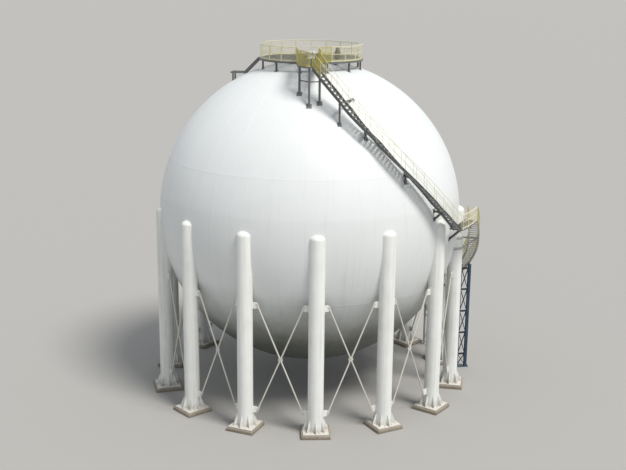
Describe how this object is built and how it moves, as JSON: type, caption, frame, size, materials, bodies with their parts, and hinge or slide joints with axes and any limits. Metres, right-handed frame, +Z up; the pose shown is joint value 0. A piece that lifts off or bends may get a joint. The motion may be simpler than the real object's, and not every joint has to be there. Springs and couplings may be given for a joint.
{
  "type": "spherical gas tank",
  "caption": "Large white spherical pressure tank for gas, on a ring of braced round columns, with a railed top platform and a winding access stair",
  "frame": {"origin": "on the ground at the middle of the overall outline", "axes": "+Z up, -Y towards the front where the picture was taken from, +X to the right"},
  "size_m": [27.6068, 27.8286, 28.4986],
  "materials": {
    "ball_paint": "satin white paint, weathered",
    "column_paint": "matt off-white coating",
    "brace_paint": "satin light grey paint",
    "stair_paint": "satin dark grey paint",
    "lower_stair_paint": "satin light grey paint",
    "yellow_paint": "satin yellow paint, sun-faded",
    "blue_paint": "satin dark blue paint",
    "valve_paint": "dark olive brown paint",
    "concrete": "cast concrete"
  },
  "bodies": {
    "root": {"top_crown": "ball_paint", "upper_belt": "ball_paint", "equator_belt": "ball_paint", "lower_belt": "ball_paint", "bottom_crown": "ball_paint", "column_01": "column_paint", "brace_01": "brace_paint", "column_02": "column_paint", "brace_02": "brace_paint", "column_03": "column_paint", "brace_03": "brace_paint", "column_04": "column_paint", "brace_04": "brace_paint", "column_05": "column_paint", "brace_05": "brace_paint", "column_06": "column_paint", "brace_06": "brace_paint", "column_07": "column_paint", "brace_07": "brace_paint", "column_08": "column_paint", "brace_08": "brace_paint", "column_09": "column_paint", "brace_09": "brace_paint", "column_10": "column_paint", "brace_10": "brace_paint", "column_11": "column_paint", "brace_11": "brace_paint", "column_12": "column_paint", "brace_12": "brace_paint", "column_13": "column_paint", "brace_13": "brace_paint", "column_14": "column_paint", "brace_14": "brace_paint", "top_platform": "stair_paint", "platform_rail_right": "yellow_paint", "platform_rail_back": "yellow_paint", "platform_rail_left": "yellow_paint", "front_landing": "stair_paint", "upper_stair": "stair_paint", "upper_stair_outer_rail": "yellow_paint", "upper_stair_inner_rail": "yellow_paint", "equator_landing": "stair_paint", "lower_stair": "lower_stair_paint", "lower_stair_outer_rail": "yellow_paint", "lower_stair_inner_rail": "yellow_paint", "stair_trestle": "blue_paint", "middle_landing": "lower_stair_paint", "base_stair": "lower_stair_paint", "stair_footing": "concrete", "side_stair": "stair_paint", "relief_valve": "valve_paint"}
  },
  "joints": []
}
